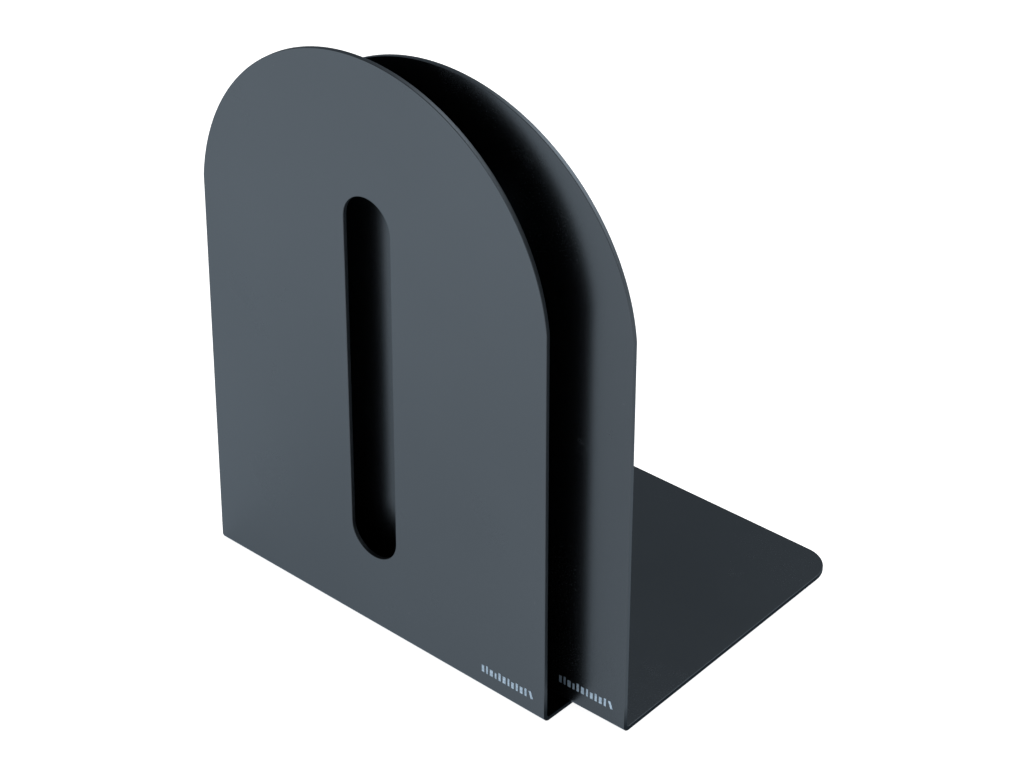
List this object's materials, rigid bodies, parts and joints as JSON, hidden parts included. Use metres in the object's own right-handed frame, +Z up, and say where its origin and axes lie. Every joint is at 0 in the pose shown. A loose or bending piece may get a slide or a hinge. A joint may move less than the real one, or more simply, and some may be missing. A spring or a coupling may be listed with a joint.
{
  "type": "bookends",
  "caption": "Nested arched sheet-steel bookends: a flat base folded up into an upright with a tall round-ended slot, one standing on the other's base.",
  "frame": {"origin": "centre of the front bookend's footprint, on the surface that it stands on", "axes": "+Z up; +Y from each upright towards the far edge of its base, square to the front upright; +X to the right of someone facing the uprights"},
  "size_m": [0.1619, 0.1216, 0.1995],
  "materials": {
    "coated_steel": "satin charcoal powder coat",
    "mark_ink": "pale blue-grey printed ink"
  },
  "bodies": {
    "front_bookend": {"front_bookend": "coated_steel", "front_printed_mark": "mark_ink"},
    "rear_bookend": {"rear_bookend": "coated_steel", "rear_printed_mark": "mark_ink"}
  },
  "joints": [
    {"name": "rear_slide", "type": "slide", "parent": "front_bookend", "child": "rear_bookend", "axis": [0, 1, 0], "range_m": [-0.005, 0.078]}
  ]
}
